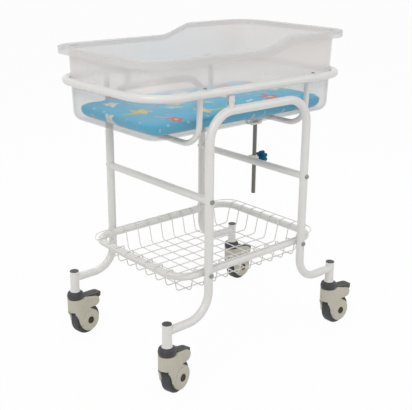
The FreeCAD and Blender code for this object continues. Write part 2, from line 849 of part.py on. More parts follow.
def caster_collar():
    """Domed dust collar on the swivel head, under the socket."""
    top = socket_bottom_z - rest_gap
    bore = caster_stem / 2 + bore_clearance
    shoulder = (collar_radius + collar_top_radius) / 2 + collar_dome
    shoulder_z = (collar_waist_z + top) / 2 + collar_dome
    points = [
        (bore, housing_top_z),
        (collar_radius - collar_foot_bevel, housing_top_z),
        (collar_radius, housing_top_z + collar_foot_height),
        (collar_radius, collar_waist_z),
        (shoulder, shoulder_z),
        (collar_top_radius, top),
        (bore, top),
    ]
    return turned(points)


def at_wheel(shape):
    shape.translate(vec(wheel_trail, 0, wheel_radius))
    return shape


def wheel_tread():
    """Rubber tyre with shoulders that fall away in two flats."""
    half = tread_width / 2
    core = wheel_radius - tread_depth
    bevel = tread_round * (1 - math.sqrt(0.5))
    items = [
        ("start", (core, -half)),
        ("line", (wheel_radius - tread_round, -half)),
        ("line", (wheel_radius - bevel, -half + bevel)),
        ("line", (wheel_radius, -half + tread_round)),
        ("line", (wheel_radius, half - tread_round)),
        ("line", (wheel_radius - bevel, half - bevel)),
        ("line", (wheel_radius - tread_round, half)),
        ("line", (core, half)),
    ]
    return at_wheel(turned_across(items))


def wheel_core():
    half = tread_width / 2
    core = wheel_radius - tread_depth
    bore = axle_diameter / 2 + bore_clearance
    items = [
        ("start", (bore, -half)),
        ("line", (core, -half)),
        ("line", (core, half)),
        ("line", (bore, half)),
    ]
    return at_wheel(turned_across(items))


def wheel_axle():
    return cross_cylinder(axle_diameter / 2, wheel_trail, wheel_radius, housing_half_width)


def hub_caps():
    caps = []
    for side in (-1, 1):
        face = vec(0, side * housing_half_width, 0)
        caps.append(cylinder(hub_cap_diameter / 2, face, face + vec(0, side * hub_cap_thickness, 0)))
    return at_wheel(Part.makeCompound(caps))


def pedal_hinge_pin():
    return cross_cylinder(pedal_pin / 2, pedal_pivot_x, pedal_pivot_z, housing_half_width)


def brake_pedal(pressed):
    """Paddle that lies between the cheeks when pressed, with a shoe over the wheel."""
    half = housing_half_width - housing_cheek - pedal_side_gap
    slope = math.radians(pedal_slope)
    top_x = pedal_pivot_x + pedal_nose * math.sin(slope)
    top_z = pedal_pivot_z + pedal_nose * math.cos(slope)
    end_top_x = pedal_end_x + pedal_end_radius * math.sin(slope)
    end_top_z = pedal_end_z + pedal_end_radius * math.cos(slope)
    outline = [
        ("start", (pedal_pivot_x, pedal_pivot_z - pedal_nose)),
        ("arc", (pedal_pivot_x - pedal_nose, pedal_pivot_z), (top_x, top_z)),
        ("line", (end_top_x, end_top_z)),
        ("arc", (pedal_end_x + pedal_end_radius, pedal_end_z), (pedal_end_x, pedal_end_z - pedal_end_radius)),
    ]
    pedal = side_prism(outline, half)
    shoe_low = 2 * wheel_radius + 2 * rest_gap
    corner = vec(wheel_trail - shoe_width / 2, -half, shoe_low)
    shoe = Part.makeBox(shoe_width, 2 * half, pedal_pivot_z - shoe_low, corner)
    bore = pedal_pin / 2 + bore_clearance
    hole = cross_cylinder(bore, pedal_pivot_x, pedal_pivot_z, housing_half_width)
    pedal = pedal.fuse(shoe).cut(hole).removeSplitter()
    if not pressed:
        pedal.rotate(vec(pedal_pivot_x, 0, pedal_pivot_z), vec(0, -1, 0), pedal_travel)
    return pedal


def save(name, shape):
    assert shape.isValid(), name
    shape.exportStep(os.path.join("parts", name + ".step"))


def build_trolley():
    for name, side in (("near", -1), ("far", 1)):
        save("side_frame_" + name, side_frame(side))
    save("caster_sockets", each_socket(socket))
    save("socket_plugs", each_socket(socket_plug))
    save("caster_stems", each_socket(caster_stem_at))
    head_bar = crossbar(leg_x)
    save("crossbar_head", head_bar)
    save("crossbar_foot", crossbar(-leg_x))
    save("crossbar_bolts", bolts(crossbar_z, bolt_grip))
    save("basket_frame", basket_frame())
    save("basket_frame_bolts", bolts(basket_frame_z, bolt_grip))
    save("wire_basket", wire_basket())
    save("pivot_posts", pivot_posts())
    save("pivot_pins", pivot_pins())
    save("rod_guide", rod_guide(head_bar))


def build_tilt_clamp():
    knob, screw = clamp_knob_and_screw()
    save("clamp_knob", knob)
    save("clamp_screw", screw)
    save("tilt_rod", tilt_rod())
    save("rod_cross_pin", rod_cross_pin())


def build_bed():
    ring = ring_frame_tube()
    save("ring_frame", ring.cut(screw_holes()))
    save("pivot_lugs", pivot_lugs(ring))
    head_sling = sling(sling_x, ring)
    save("sling_head", head_sling)
    save("sling_foot", sling(-sling_x, ring))
    save("sling_screws", sling_screws())
    save("slot_bracket", slot_bracket(head_sling))
    save("tub", tub())
    save("mattress", mattress())


def build_casters():
    shared = {
        "housing": caster_housing(),
        "collar": caster_collar(),
        "tread": wheel_tread(),
        "wheel": wheel_core(),
        "axle": wheel_axle(),
        "hub_caps": hub_caps(),
        "pedal_pin": pedal_hinge_pin(),
    }
    for name, (_, _, _, pressed) in casters.items():
        for piece, shape in shared.items():
            save("caster_" + name + "_" + piece, caster_place(name, shape))
        save("caster_" + name + "_pedal", caster_place(name, brake_pedal(pressed)))


os.makedirs("parts", exist_ok=True)
build_trolley()
build_tilt_clamp()
build_bed()
build_casters()
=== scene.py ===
# Hospital bassinet: studio scene, finishes and the soft and fine pieces.
# Metres. X runs to the head end, Y to the far side, Z up, and the floor is Z = 0.
import bpy
import json
import math
from mathutils import Matrix, Vector


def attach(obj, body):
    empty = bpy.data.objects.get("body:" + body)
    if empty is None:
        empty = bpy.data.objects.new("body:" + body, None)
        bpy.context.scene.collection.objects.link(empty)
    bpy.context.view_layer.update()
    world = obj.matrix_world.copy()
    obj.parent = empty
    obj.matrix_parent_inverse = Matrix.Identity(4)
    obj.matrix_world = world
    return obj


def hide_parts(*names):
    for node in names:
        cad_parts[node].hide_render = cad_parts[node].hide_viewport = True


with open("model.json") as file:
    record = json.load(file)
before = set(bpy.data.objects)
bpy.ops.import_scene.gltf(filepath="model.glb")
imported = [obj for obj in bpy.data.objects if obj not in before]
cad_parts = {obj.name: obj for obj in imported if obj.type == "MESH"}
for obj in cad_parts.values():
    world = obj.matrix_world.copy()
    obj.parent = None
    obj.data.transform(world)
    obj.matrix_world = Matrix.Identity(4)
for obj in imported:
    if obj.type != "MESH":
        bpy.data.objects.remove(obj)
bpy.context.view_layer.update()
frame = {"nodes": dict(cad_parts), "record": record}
nodes = frame["nodes"]

# where each caster's swivel stands, how far it is turned in degrees, and whether its brake is on
casterPlaces = {
    "foot_far": {"x": -0.340, "y": 0.235, "swivel": 9.5, "pressed": False},
    "foot_near": {"x": -0.340, "y": -0.235, "swivel": 16, "pressed": True},
    "head_near": {"x": 0.340, "y": -0.235, "swivel": -1.5, "pressed": False},
    "head_far": {"x": 0.340, "y": 0.235, "swivel": 4, "pressed": True},
}


# helpers for modelling
def clearSelection():
    if bpy.context.object and bpy.context.object.mode != "OBJECT":
        bpy.ops.object.mode_set(mode="OBJECT")
    bpy.ops.object.select_all(action="DESELECT")


def makeActive(piece):
    clearSelection()
    piece.select_set(True)
    bpy.context.view_layer.objects.active = piece


def named(name):
    piece = bpy.context.object
    piece.name = name
    piece.data.name = name
    return piece


def applyPlace(piece):
    makeActive(piece)
    bpy.ops.object.transform_apply(location=True, rotation=True, scale=True)


def joined(parts, name):
    clearSelection()
    for part in parts:
        part.select_set(True)
    bpy.context.view_layer.objects.active = parts[0]
    bpy.ops.object.join()
    return named(name)


def inEdit(piece, mode="FACE"):
    makeActive(piece)
    bpy.ops.object.mode_set(mode="EDIT")
    bpy.ops.mesh.select_mode(type=mode)


def selectFaces(piece, test):
    # select by centre and normal, then come back to edit mode
    bpy.ops.mesh.select_all(action="DESELECT")
    bpy.ops.object.mode_set(mode="OBJECT")
    for face in piece.data.polygons:
        face.select = test(face.center, face.normal)
    bpy.ops.object.mode_set(mode="EDIT")


def selectEdges(piece, test):
    # select by the two end points, then come back to edit mode
    bpy.ops.mesh.select_all(action="DESELECT")
    bpy.ops.object.mode_set(mode="OBJECT")
    points = piece.data.vertices
    for edge in piece.data.edges:
        a, b = (points[i].co for i in edge.vertices)
        edge.select = test(a, b)
    bpy.ops.object.mode_set(mode="EDIT")


def addModifier(piece, kind, **values):
    makeActive(piece)
    bpy.ops.object.modifier_add(type=kind)
    modifier = piece.modifiers[-1]
    for key, value in values.items():
        setattr(modifier, key, value)
    bpy.ops.object.modifier_apply(modifier=modifier.name)


def smooth(piece, degrees):
    makeActive(piece)
    bpy.ops.object.shade_smooth_by_angle(angle=math.radians(degrees))


def dress(piece, material):
    piece.data.materials.clear()
    piece.data.materials.append(material)


meshCleaning = {"mergeDistance": 0.00002, "flatDegrees": 0.5}


def copyOfNode(node, name):
    # a merged copy of a CAD solid, to round its edges
    mesh = nodes[node].data.copy()
    piece = bpy.data.objects.new(name, mesh)
    bpy.context.scene.collection.objects.link(piece)
    mesh.name = name
    inEdit(piece, "VERT")
    bpy.ops.mesh.select_all(action="SELECT")
    bpy.ops.mesh.customdata_custom_splitnormals_clear()
    bpy.ops.mesh.remove_doubles(threshold=meshCleaning["mergeDistance"])
    bpy.ops.mesh.dissolve_limited(angle_limit=math.radians(meshCleaning["flatDegrees"]))
    bpy.ops.object.mode_set(mode="OBJECT")
    return piece


def roundedNode(node, name, width, segments=3, angle=35):
    piece = copyOfNode(node, name)
    addModifier(
        piece, "BEVEL", width=width, segments=segments, limit_method="ANGLE", angle_limit=math.radians(angle))
    smooth(piece, 40)
    return piece


def widened(piece, keep, factor):
    # wider across its own axis, the length along that axis kept
    sides = [k for k in range(3) if k != keep]
    points = piece.data.vertices
    for k in sides:
        middle = (min(point.co[k] for point in points) + max(point.co[k] for point in points)) / 2
        for point in points:
            point.co[k] = middle + factor * (point.co[k] - middle)


# helpers for shaders
def newMaterial(name):
    material = bpy.data.materials.new(name)
    material.use_nodes = True
    return material, material.node_tree, material.node_tree.nodes["Principled BSDF"]


def newGroup(name, inputs, outputs):
    group = bpy.data.node_groups.new(name, "ShaderNodeTree")
    for label, kind, value in inputs:
        socket = group.interface.new_socket(label, in_out="INPUT", socket_type=kind)
        if value is not None:
            socket.default_value = value
    for label, kind in outputs:
        group.interface.new_socket(label, in_out="OUTPUT", socket_type=kind)
    return group, group.nodes.new("NodeGroupInput"), group.nodes.new("NodeGroupOutput")


def placeGroup(tree, group, vector, values):
    node = tree.nodes.new("ShaderNodeGroup")
    node.node_tree = group
    tree.links.new(vector, node.inputs["Vector"])
    for key, value in values.items():
        node.inputs[key].default_value = value
    return node


def mathNode(tree, operation, a, b=None, c=None, clamp=False):
    node = tree.nodes.new("ShaderNodeMath")
    node.operation = operation
    node.use_clamp = clamp
    for socket, value in zip(node.inputs, (a, b, c)):
        if value is None:
            continue
        if isinstance(value, (int, float)):
            socket.default_value = value
        else:
            tree.links.new(value, socket)
    return node.outputs[0]


def lengthOf(tree, x, y):
    squares = mathNode(tree, "ADD", mathNode(tree, "MULTIPLY", x, x), mathNode(tree, "MULTIPLY", y, y))
    return mathNode(tree, "SQRT", squares)


def mixColour(tree, fac, a, b):
    node = tree.nodes.new("ShaderNodeMix")
    node.data_type = "RGBA"
    for socket, value in ((node.inputs[0], fac), (node.inputs[6], a), (node.inputs[7], b)):
        if hasattr(value, "node"):
            tree.links.new(value, socket)
        elif isinstance(value, tuple):
            socket.default_value = (*value, 1.0)
        else:
            socket.default_value = value
    return node.outputs[2]


def splitVector(tree, vector):
    node = tree.nodes.new("ShaderNodeSeparateXYZ")
    tree.links.new(vector, node.inputs["Vector"])
    return node.outputs


def textureNode(tree, kind, values, vector):
    node = tree.nodes.new(kind)
    for key, value in values.items():
        node.inputs[key].default_value = value
    tree.links.new(vector, node.inputs["Vector"])
    return node


def addBump(tree, shader, height, look):
    bump = tree.nodes.new("ShaderNodeBump")
    bump.inputs["Strength"].default_value = look["bump"]
    bump.inputs["Distance"].default_value = look["depth"]
    tree.links.new(height, bump.inputs["Height"])
    tree.links.new(bump.outputs["Normal"], shader.inputs["Normal"])


def addRoughness(tree, shader, unevenness, look):
    rough = mathNode(tree, "MULTIPLY_ADD", unevenness, look["roughSpread"], look["rough"])
    tree.links.new(rough, shader.inputs["Roughness"])


# gain and shift turn a texture's middling values into patches and into few sharp specks
skinShape = {
    "fine": {"Detail": 3.0}, "slow": {"Detail": 4.0, "Roughness": 0.6}, "specks": {"Detail": 2.0},
    "speckScale": 14.0, "patchGain": 2.2, "patchShift": -0.6, "speckGain": 6.0, "speckShift": -3.9,
}


def makeSkinGroup():
    # fine surface relief plus slow unevenness of colour and gloss
    group, given, result = newGroup(
        "surfaceSkin",
        [("Vector", "NodeSocketVector", None), ("Grain", "NodeSocketFloat", 900.0),
         ("Cloud", "NodeSocketFloat", 9.0)],
        [("Relief", "NodeSocketFloat"), ("Patches", "NodeSocketFloat"), ("Specks", "NodeSocketFloat")],
    )
    shape = skinShape
    links = group.links
    fine, slow, specks = (
        textureNode(group, "ShaderNodeTexNoise", shape[key], given.outputs["Vector"])
        for key in ("fine", "slow", "specks")
    )
    links.new(given.outputs["Grain"], fine.inputs["Scale"])
    links.new(given.outputs["Cloud"], slow.inputs["Scale"])
    speckScale = mathNode(group, "MULTIPLY", given.outputs["Cloud"], shape["speckScale"])
    links.new(speckScale, specks.inputs["Scale"])
    links.new(fine.outputs["Fac"], result.inputs["Relief"])
    spread = mathNode(
        group, "MULTIPLY_ADD", slow.outputs["Fac"], shape["patchGain"], shape["patchShift"], clamp=True)
    links.new(spread, result.inputs["Patches"])
    sharp = mathNode(
        group, "MULTIPLY_ADD", specks.outputs["Fac"], shape["speckGain"], shape["speckShift"], clamp=True)
    links.new(sharp, result.inputs["Specks"])
    return group


skinGroup = makeSkinGroup()


def skinned(name, look):
    # a moulded, painted or metal finish from its dictionary of values
    material, tree, shader = newMaterial(name)
    place = tree.nodes.new("ShaderNodeTexCoord")
    vector = place.outputs["Object"]
    if "stretch" in look:
        mapping = tree.nodes.new("ShaderNodeMapping")
        mapping.inputs["Scale"].default_value = look["stretch"]
        tree.links.new(vector, mapping.inputs["Vector"])
        vector = mapping.outputs["Vector"]
    skin = placeGroup(tree, skinGroup, vector, {"Grain": look["grain"], "Cloud": look["cloud"]})
    base = mixColour(tree, skin.outputs["Patches"], look["colour"], look["second"])
    specks = mathNode(tree, "MULTIPLY", skin.outputs["Specks"], look["specks"])
    tree.links.new(mixColour(tree, specks, base, look["speckColour"]), shader.inputs["Base Color"])
    addRoughness(tree, shader, skin.outputs["Patches"], look)
    addBump(tree, shader, skin.outputs["Relief"], look)
    shader.inputs["Metallic"].default_value = look.get("metal", 0.0)
    shader.inputs["Specular IOR Level"].default_value = look.get("specular", 0.5)
    shader.inputs["Coat Weight"].default_value = look.get("coat", 0.0)
    shader.inputs["Coat Roughness"].default_value = 0.1
    return material


looks = {
    "powderCoat": {
        "colour": (0.80, 0.79, 0.765), "second": (0.765, 0.755, 0.73), "speckColour": (0.60, 0.585, 0.55),
        "specks": 0.10, "rough": 0.27, "roughSpread": 0.10, "coat": 0.35,
        "grain": 620, "cloud": 7, "bump": 0.10, "depth": 0.0006,
    },
    "coatedWire": {
        "colour": (0.83, 0.82, 0.80), "second": (0.79, 0.78, 0.75), "speckColour": (0.62, 0.60, 0.57),
        "specks": 0.10, "rough": 0.24, "roughSpread": 0.08, "coat": 0.45,
        "grain": 500, "cloud": 12, "bump": 0.12, "depth": 0.0005,
    },
    "darkSteel": {
        "colour": (0.215, 0.205, 0.19), "second": (0.165, 0.158, 0.148), "speckColour": (0.28, 0.26, 0.23),
        "specks": 0.4, "rough": 0.36, "roughSpread": 0.14, "metal": 0.75,
        "grain": 1500, "cloud": 22, "bump": 0.12, "depth": 0.0004, "stretch": (1.0, 1.0, 0.08),
    },
    "zincPlate": {
        "colour": (0.33, 0.33, 0.32), "second": (0.26, 0.26, 0.25), "speckColour": (0.20, 0.19, 0.18),
        "specks": 0.4, "rough": 0.30, "roughSpread": 0.14, "metal": 0.9,
        "grain": 1400, "cloud": 40, "bump": 0.10, "depth": 0.0003,
    },
    "blackPlastic": {
        "colour": (0.048, 0.048, 0.052), "second": (0.036, 0.036, 0.039), "speckColour": (0.13, 0.13, 0.13),
        "specks": 0.25, "rough": 0.40, "roughSpread": 0.10,
        "grain": 1900, "cloud": 30, "bump": 0.22, "depth": 0.0004,
    },
    "pedalPlastic": {
        "colour": (0.056, 0.055, 0.052), "second": (0.043, 0.041, 0.039), "speckColour": (0.14, 0.135, 0.13),
        "specks": 0.3, "rough": 0.46, "roughSpread": 0.10,
        "grain": 1700, "cloud": 34, "bump": 0.25, "depth": 0.0004,
    },
    "beigeHousing": {
        "colour": (0.57, 0.54, 0.44), "second": (0.535, 0.505, 0.41), "speckColour": (0.33, 0.31, 0.25),
        "specks": 0.15, "rough": 0.34, "roughSpread": 0.10,
        "grain": 1600, "cloud": 18, "bump": 0.16, "depth": 0.0004,
    },
    "housingShade": {
        "colour": (0.20, 0.185, 0.145), "second": (0.17, 0.16, 0.125), "speckColour": (0.12, 0.11, 0.09),
        "specks": 0.15, "rough": 0.50, "roughSpread": 0.10,
        "grain": 1600, "cloud": 18, "bump": 0.16, "depth": 0.0004,
    },
    "wheelCore": {
        "colour": (0.22, 0.215, 0.20), "second": (0.18, 0.175, 0.165), "speckColour": (0.12, 0.12, 0.11),
        "specks": 0.3, "rough": 0.42, "roughSpread": 0.10,
        "grain": 1200, "cloud": 25, "bump": 0.18, "depth": 0.0004,
    },
    "hubBrown": {
        "colour": (0.046, 0.032, 0.017), "second": (0.032, 0.022, 0.012), "speckColour": (0.09, 0.07, 0.045),
        "specks": 0.25, "rough": 0.42, "roughSpread": 0.10, "specular": 0.25,
        "grain": 1500, "cloud": 45, "bump": 0.2, "depth": 0.0004,
    },
    "tyreRubber": {
        "colour": (0.055, 0.056, 0.061), "second": (0.041, 0.042, 0.046), "speckColour": (0.17, 0.165, 0.155),
        "specks": 0.35, "rough": 0.52, "roughSpread": 0.14,
        "grain": 1100, "cloud": 26, "bump": 0.3, "depth": 0.0006,
    },
    "tealKnob": {
        "colour": (0.0, 0.135, 0.25), "second": (0.0, 0.11, 0.215), "speckColour": (0.01, 0.18, 0.30),
        "specks": 0.15, "rough": 0.42, "roughSpread": 0.08, "specular": 0.2,
        "grain": 1300, "cloud": 30, "bump": 0.12, "depth": 0.0004,
    },
}
finishes = {name: skinned(name, look) for name, look in looks.items()}


# haze, tone and flange are ramps: from and to, then the results there
tubLook = {
    # the inner tint is a warm cast painted against the blue light that the mattress bounces; the rim colour
    # and the colour for faces that look up are painted shade
    "high": (0.97, 0.93, 0.91), "highSecond": (0.94, 0.90, 0.88), "low": (0.43, 0.425, 0.415),
    "rim": (0.80, 0.785, 0.77), "topShade": (0.56, 0.55, 0.54), "inner": (0.94, 0.86, 0.82),
    "haze": (0.775, 0.885, 0.13, 0.52), "tone": (0.795, 0.850, 0.0, 1.0), "flange": (0.062, 0.068, 0.0, 1.0),
    "middleX": -0.005, "cornerX": 0.298, "cornerY": 0.148, "innerGain": -5.0,
    "edge": 0.28, "edgePower": 3.0, "edgeBlend": 0.5,
    "rough": 0.26, "roughSpread": 0.06, "grain": 160, "cloud": 3.2, "bump": 0.02, "depth": 0.001,
}


def makeTubMaterial():
    # milky plastic: a haze over what lies behind it, thin and grey below, dense and pale above
    look = tubLook
    material, tree, shader = newMaterial("milkyPlastic")

    def ramp(value, ends):
        node = tree.nodes.new("ShaderNodeMapRange")
        node.interpolation_type = "SMOOTHSTEP"
        tree.links.new(value, node.inputs["Value"])
        for socket, end in zip(("From Min", "From Max", "To Min", "To Max"), ends):
            node.inputs[socket].default_value = end
        return node.outputs["Result"]

    place = tree.nodes.new("ShaderNodeTexCoord")
    spot = splitVector(tree, place.outputs["Object"])
    facing = splitVector(tree, place.outputs["Normal"])
    texture = {"Grain": look["grain"], "Cloud": look["cloud"]}
    skin = placeGroup(tree, skinGroup, place.outputs["Object"], texture)
    tone = ramp(spot["Z"], look["tone"])
    # the flange lies far out from a rectangle through the centres of the tub's corners
    pastX = mathNode(tree, "ABSOLUTE", mathNode(tree, "SUBTRACT", spot["X"], look["middleX"]))
    pastX = mathNode(tree, "MAXIMUM", mathNode(tree, "SUBTRACT", pastX, look["cornerX"]), 0.0)
    pastY = mathNode(tree, "SUBTRACT", mathNode(tree, "ABSOLUTE", spot["Y"]), look["cornerY"])
    pastY = mathNode(tree, "MAXIMUM", pastY, 0.0)
    flange = ramp(lengthOf(tree, pastX, pastY), look["flange"])
    # inner faces turn towards the middle, where this product is below zero
    outward = tree.nodes.new("ShaderNodeVectorMath")
    outward.operation = "DOT_PRODUCT"
    tree.links.new(place.outputs["Object"], outward.inputs[0])
    tree.links.new(place.outputs["Normal"], outward.inputs[1])
    inner = mathNode(tree, "MULTIPLY", outward.outputs["Value"], look["innerGain"], clamp=True)
    topShadeMask = mathNode(tree, "MULTIPLY", facing["Z"], 1.0, clamp=True)
    upper = mixColour(tree, skin.outputs["Patches"], look["high"], look["highSecond"])
    # faces turned inward get a warmer tint, painted to offset the blue light that the mattress bounces onto
    # them
    upper = mixColour(tree, inner, upper, look["inner"])
    # the flange is painted darker, as painted shade that evens out the extra light it catches
    upper = mixColour(tree, flange, upper, look["rim"])
    # faces that look up are painted darker, as painted shade against the light that falls on them from above
    upper = mixColour(tree, topShadeMask, upper, look["topShade"])
    tree.links.new(mixColour(tree, tone, look["low"], upper), shader.inputs["Base Color"])
    addRoughness(tree, shader, skin.outputs["Patches"], look)
    addBump(tree, shader, skin.outputs["Relief"], look)
    # below the ring, clear plastic shows most where its wall is seen edge on
    slant = tree.nodes.new("ShaderNodeLayerWeight")
    slant.inputs["Blend"].default_value = look["edgeBlend"]
    steep = mathNode(tree, "POWER", slant.outputs["Facing"], look["edgePower"])
    grazing = mathNode(tree, "MULTIPLY", steep, mathNode(tree, "SUBTRACT", 1.0, tone))
    haze = ramp(spot["Z"], look["haze"])
    cover = mathNode(tree, "ADD", haze, mathNode(tree, "MULTIPLY", grazing, look["edge"]))
    tree.links.new(cover, shader.inputs["Alpha"])
    return material


motifShape = {
    "scatter": 0.55, "fullTurn": 6.28, "sizeSpread": 0.5, "leastSize": 0.7, "crispness": 45.0, "heart": 0.36,
}


def makeMotifGroup():
    # scattered petalled shapes: one per cell of a loose grid, turned and sized at random
    group, given, result = newGroup(
        "scatteredMotifs",
        [("Vector", "NodeSocketVector", None), ("Density", "NodeSocketFloat", 14.0),
         ("Petals", "NodeSocketFloat", 5.0), ("Size", "NodeSocketFloat", 0.22),
         ("Wave", "NodeSocketFloat", 0.25), ("Stretch", "NodeSocketFloat", 1.0)],
        [("Mask", "NodeSocketFloat"), ("Heart", "NodeSocketFloat"), ("Pick", "NodeSocketFloat")],
    )
    shape = motifShape
    links = group.links
    scaled = group.nodes.new("ShaderNodeVectorMath")
    scaled.operation = "SCALE"
    links.new(given.outputs["Vector"], scaled.inputs[0])
    links.new(given.outputs["Density"], scaled.inputs["Scale"])
    cells = group.nodes.new("ShaderNodeTexVoronoi")
    cells.voronoi_dimensions = "2D"
    cells.inputs["Scale"].default_value = 1.0
    cells.inputs["Randomness"].default_value = shape["scatter"]
    links.new(scaled.outputs["Vector"], cells.inputs["Vector"])
    offset = group.nodes.new("ShaderNodeVectorMath")
    offset.operation = "SUBTRACT"
    links.new(scaled.outputs["Vector"], offset.inputs[0])
    links.new(cells.outputs["Position"], offset.inputs[1])
    # each cell's own colour picks its turn, size and tint
    chance = group.nodes.new("ShaderNodeSeparateColor")
    links.new(cells.outputs["Color"], chance.inputs["Color"])
    turn = group.nodes.new("ShaderNodeVectorRotate")
    turn.rotation_type = "Z_AXIS"
    links.new(offset.outputs["Vector"], turn.inputs["Vector"])
    links.new(mathNode(group, "MULTIPLY", chance.outputs["Green"], shape["fullTurn"]), turn.inputs["Angle"])
    spot = splitVector(group, turn.outputs["Vector"])
    across = mathNode(group, "MULTIPLY", spot["Y"], given.outputs["Stretch"])
    angle = mathNode(group, "ARCTAN2", across, spot["X"])
    radius = lengthOf(group, spot["X"], across)
    wave = mathNode(group, "COSINE", mathNode(group, "MULTIPLY", angle, given.outputs["Petals"]))
    swell = mathNode(group, "ADD", mathNode(group, "MULTIPLY", wave, given.outputs["Wave"]), 1.0)
    share = mathNode(group, "MULTIPLY_ADD", chance.outputs["Blue"], shape["sizeSpread"], shape["leastSize"])
    size = mathNode(group, "MULTIPLY", given.outputs["Size"], share)
    inside = mathNode(group, "SUBTRACT", mathNode(group, "MULTIPLY", size, swell), radius)
    heart = mathNode(group, "SUBTRACT", mathNode(group, "MULTIPLY", size, shape["heart"]), radius)
    for depth, label in ((inside, "Mask"), (heart, "Heart")):
        links.new(mathNode(group, "MULTIPLY", depth, shape["crispness"], clamp=True), result.inputs[label])
    links.new(chance.outputs["Red"], result.inputs["Pick"])
    return group


# tints are stops of a palette; a motif's shift keeps it from falling on the others
clothLook = {
    "blue": (0.008, 0.48, 0.77), "paleBlue": (0.03, 0.54, 0.83), "underside": (0.62, 0.64, 0.64),
    "heart": (0.88, 0.76, 0.22), "spot": (0.62, 0.78, 0.84), "spotShare": 0.6,
    "flowerTints": [
        (0.0, (0.86, 0.88, 0.86)), (0.32, (0.86, 0.62, 0.16)),
        (0.56, (0.74, 0.10, 0.16)), (0.80, (0.84, 0.84, 0.80)),
    ],
    "leafTints": [(0.0, (0.42, 0.62, 0.16)), (0.40, (0.84, 0.86, 0.84)), (0.70, (0.80, 0.36, 0.44))],
    "flowers": {"Density": 7.2, "Petals": 5.0, "Size": 0.19, "Wave": 0.28, "Stretch": 1.0},
    "leaves": {"Density": 8.6, "Petals": 2.0, "Size": 0.16, "Wave": 0.30, "Stretch": 2.3},
    "spots": {"Density": 17.0, "Petals": 1.0, "Size": 0.10, "Wave": 0.0, "Stretch": 1.0},
    "flowerShift": (0.013, 0.041, 0), "leafShift": (0.31, 0.17, 0), "spotShift": (0.7, 0.5, 0),
    "underGain": -8.0, "underFrom": -6.6,
    "drift": {"Scale": 9.0, "Detail": 3.0}, "crease": {"Scale": 26.0, "Detail": 3.0},
    "weave": {"Scale": 320.0, "Distortion": 0.6}, "weaveHeight": 0.12, "creaseHeight": 1.6,
    "bump": 0.5, "depth": 0.0016, "rough": 0.50, "roughSpread": 0.15, "sheen": 0.15,
}


def makeClothMaterial():
    # blue cover with scattered flowers, leaves and spots, and a fine weave
    look = clothLook
    material, tree, shader = newMaterial("printedCover")
    uvMap = tree.nodes.new("ShaderNodeUVMap")
    uvMap.uv_map = "clothUV"
    uv = uvMap.outputs["UV"]
    group = makeMotifGroup()

    def motifs(values, shift):
        mapping = tree.nodes.new("ShaderNodeMapping")
        mapping.inputs["Location"].default_value = shift
        tree.links.new(uv, mapping.inputs["Vector"])
        return placeGroup(tree, group, mapping.outputs["Vector"], values).outputs

    def palette(pick, stops):
        ramp = tree.nodes.new("ShaderNodeValToRGB")
        ramp.color_ramp.interpolation = "CONSTANT"
        elements = ramp.color_ramp.elements
        for element, (position, colour) in zip(elements, stops):
            element.position = position
            element.color = (*colour, 1)
        for position, colour in stops[2:]:
            elements.new(position).color = (*colour, 1)
        tree.links.new(pick, ramp.inputs["Fac"])
        return ramp.outputs["Color"]

    drift = textureNode(tree, "ShaderNodeTexNoise", look["drift"], uv)
    flowers = motifs(look["flowers"], look["flowerShift"])
    leaves = motifs(look["leaves"], look["leafShift"])
    spots = motifs(look["spots"], look["spotShift"])
    colour = mixColour(tree, drift.outputs["Fac"], look["blue"], look["paleBlue"])
    speckle = mathNode(tree, "MULTIPLY", spots["Mask"], look["spotShare"])
    colour = mixColour(tree, speckle, colour, look["spot"])
    colour = mixColour(tree, leaves["Mask"], colour, palette(leaves["Pick"], look["leafTints"]))
    colour = mixColour(tree, flowers["Mask"], colour, palette(flowers["Pick"], look["flowerTints"]))
    colour = mixColour(tree, flowers["Heart"], colour, look["heart"])
    # the plain underside faces down
    place = tree.nodes.new("ShaderNodeTexCoord")
    facing = splitVector(tree, place.outputs["Normal"])
    under = mathNode(tree, "MULTIPLY_ADD", facing["Z"], look["underGain"], look["underFrom"], clamp=True)
    tree.links.new(mixColour(tree, under, colour, look["underside"]), shader.inputs["Base Color"])
    # threads both ways over slow creases
    weave = textureNode(tree, "ShaderNodeTexWave", look["weave"], uv)
    cross = textureNode(tree, "ShaderNodeTexWave", look["weave"], uv)
    cross.bands_direction = "Y"
    crease = textureNode(tree, "ShaderNodeTexNoise", look["crease"], uv)
    threads = mathNode(tree, "ADD", weave.outputs["Fac"], cross.outputs["Fac"])
    threads = mathNode(tree, "MULTIPLY", threads, look["weaveHeight"])
    creases = mathNode(tree, "MULTIPLY", crease.outputs["Fac"], look["creaseHeight"])
    addBump(tree, shader, mathNode(tree, "ADD", threads, creases), look)
    addRoughness(tree, shader, drift.outputs["Fac"], look)
    shader.inputs["Sheen Weight"].default_value = look["sheen"]
    return material


finishes["milkyPlastic"] = makeTubMaterial()
finishes["printedCover"] = makeClothMaterial()
print("finishes made:", len(finishes))

slotFinish = {
    "painted_frame": "powderCoat", "basket_wire": "coatedWire", "dark_steel": "darkSteel",
    "plated_steel": "zincPlate", "black_plastic": "blackPlastic", "pedal_plastic": "pedalPlastic",
    "caster_housing": "beigeHousing", "wheel_core": "wheelCore", "hub_cap": "hubBrown", "tyre": "tyreRubber",
    "teal_knob": "tealKnob", "milky_tub": "milkyPlastic", "mattress_cover": "printedCover",
}
for part in frame["record"]["subparts"]:
    dress(nodes[part["node"]], finishes[slotFinish[part["material_slot"]]])


# a soft pad in a cloth cover, swollen by a short simulation
mattressSize = {
    "middleX": -0.005, "halfX": 0.340, "halfY": 0.188, "low": 0.7265, "high": 0.7665,
    "corner": 0.050, "edge": 0.012, "belly": 0.024, "voxel": 0.006,
    "pressure": 4.0, "steps": 20, "furthest": 0.0035,
    "curl": 0.012, "curlFrom": 0.6, "crown": 0.002, "crownX": 0.36, "crownY": 0.20,
    "flatX": 0.29, "flatY": 0.14, "slack": 0.001,
}


def limited(value, low, high):
    return max(low, min(high, value))


